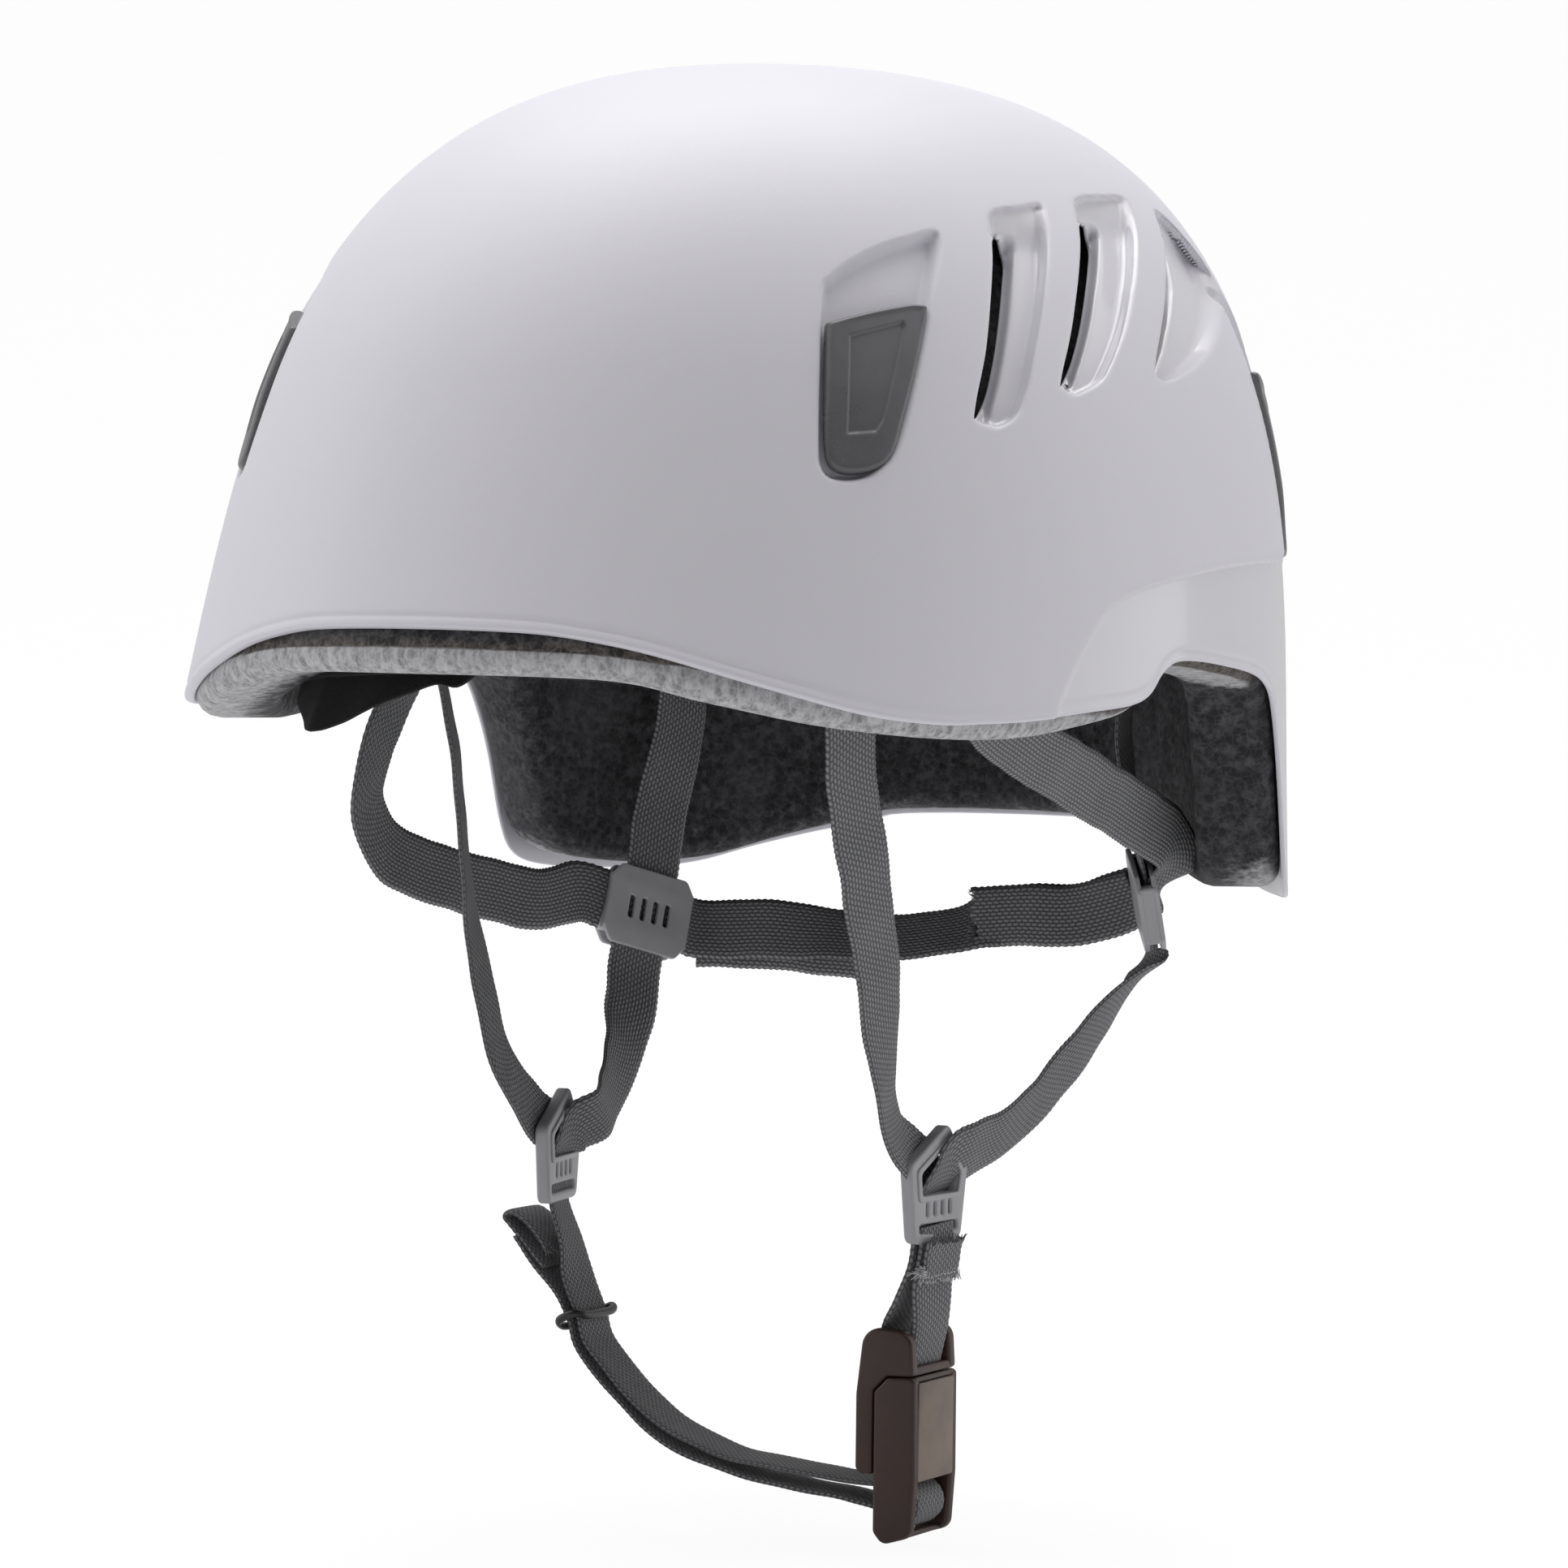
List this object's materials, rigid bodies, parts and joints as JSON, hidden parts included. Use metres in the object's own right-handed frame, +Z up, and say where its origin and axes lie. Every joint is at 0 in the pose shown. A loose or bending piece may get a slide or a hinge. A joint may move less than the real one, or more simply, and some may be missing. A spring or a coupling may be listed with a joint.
{
  "type": "climbing helmet",
  "caption": "Hard-shell climbing helmet with foam liner, side vents, headlamp clips, webbing harness with nape cradle, and a chin strap with a sliding magnetic buckle.",
  "frame": {"origin": "centre of the head opening, on the helmet's centre line at the widest level of the shell", "axes": "+Z up to the crown, -Y to the front, +X to the wearer's left"},
  "size_m": [0.2282, 0.3038, 0.3404],
  "materials": {
    "shell": "white moulded plastic, fine matt grain, gloss in the vents and rear panel",
    "foam": "charcoal bead foam with a light bead network",
    "clip": "mid grey satin plastic",
    "pad": "black brushed fabric",
    "hardware": "light grey satin plastic",
    "webbing": "mid grey woven webbing",
    "buckle": "dark brown satin plastic",
    "plate": "taupe plate with a fine satin grain",
    "magnet": "plated magnet",
    "ring": "black rubber"
  },
  "bodies": {
    "helmet": {"outer_shell": "shell", "foam_liner": "foam", "brow_pad": "pad", "crown_pads": "pad", "hook_patches": "pad", "strap_anchors": "hardware", "left_front_strap": "webbing", "left_rear_strap": "webbing", "right_front_strap": "webbing", "right_rear_strap": "webbing", "left_divider": "hardware", "right_divider": "hardware", "left_headband_strap": "webbing", "right_headband_strap": "webbing", "nape_strap": "webbing", "left_nape_slider": "hardware", "right_nape_slider": "hardware"},
    "front_left_clip": {"front_left_clip": "clip"},
    "front_right_clip": {"front_right_clip": "clip"},
    "rear_left_clip": {"rear_left_clip": "clip"},
    "rear_right_clip": {"rear_right_clip": "clip"},
    "chin_tab": {"chin_tab": "webbing", "buckle_rear_half": "buckle", "rear_half_magnet": "magnet"},
    "chin_strap": {"chin_strap": "webbing", "buckle_front_half": "buckle", "front_half_magnet": "magnet", "buckle_face_plate": "plate"},
    "keeper_ring": {"keeper_ring": "ring"}
  },
  "joints": [
    {"name": "front_left_clip_flex", "type": "hinge", "parent": "helmet", "child": "front_left_clip", "pos_m": [0.07568, -0.10315, 0.0602], "axis": [0.6227, 0.7824, 0], "range_deg": [0, 10], "stiffness_Nm_per_rad": 0.5},
    {"name": "front_right_clip_flex", "type": "hinge", "parent": "helmet", "child": "front_right_clip", "pos_m": [-0.07568, -0.10315, 0.0602], "axis": [0.6227, -0.7824, 0], "range_deg": [0, 10], "stiffness_Nm_per_rad": 0.5},
    {"name": "rear_left_clip_flex", "type": "hinge", "parent": "helmet", "child": "rear_left_clip", "pos_m": [0.09248, 0.08442, 0.04508], "axis": [-0.4443, 0.8959, 0], "range_deg": [0, 10], "stiffness_Nm_per_rad": 0.5},
    {"name": "rear_right_clip_flex", "type": "hinge", "parent": "helmet", "child": "rear_right_clip", "pos_m": [-0.09248, 0.08442, 0.04508], "axis": [-0.4443, -0.8959, 0], "range_deg": [0, 10], "stiffness_Nm_per_rad": 0.5},
    {"name": "chin_tab_swing", "type": "hinge", "parent": "helmet", "child": "chin_tab", "pos_m": [0.047, -0.0014, -0.1095], "axis": [1, 0, 0], "range_deg": [-35, 35]},
    {"name": "chin_strap_swing", "type": "hinge", "parent": "helmet", "child": "chin_strap", "pos_m": [-0.051, -0.0014, -0.1095], "axis": [1, 0, 0], "range_deg": [-50, 35]},
    {"name": "keeper_ring_slide", "type": "slide", "parent": "chin_strap", "child": "keeper_ring", "axis": [-0.4384, 0, 0.8988], "range_m": [-0.005, 0.005]}
  ]
}
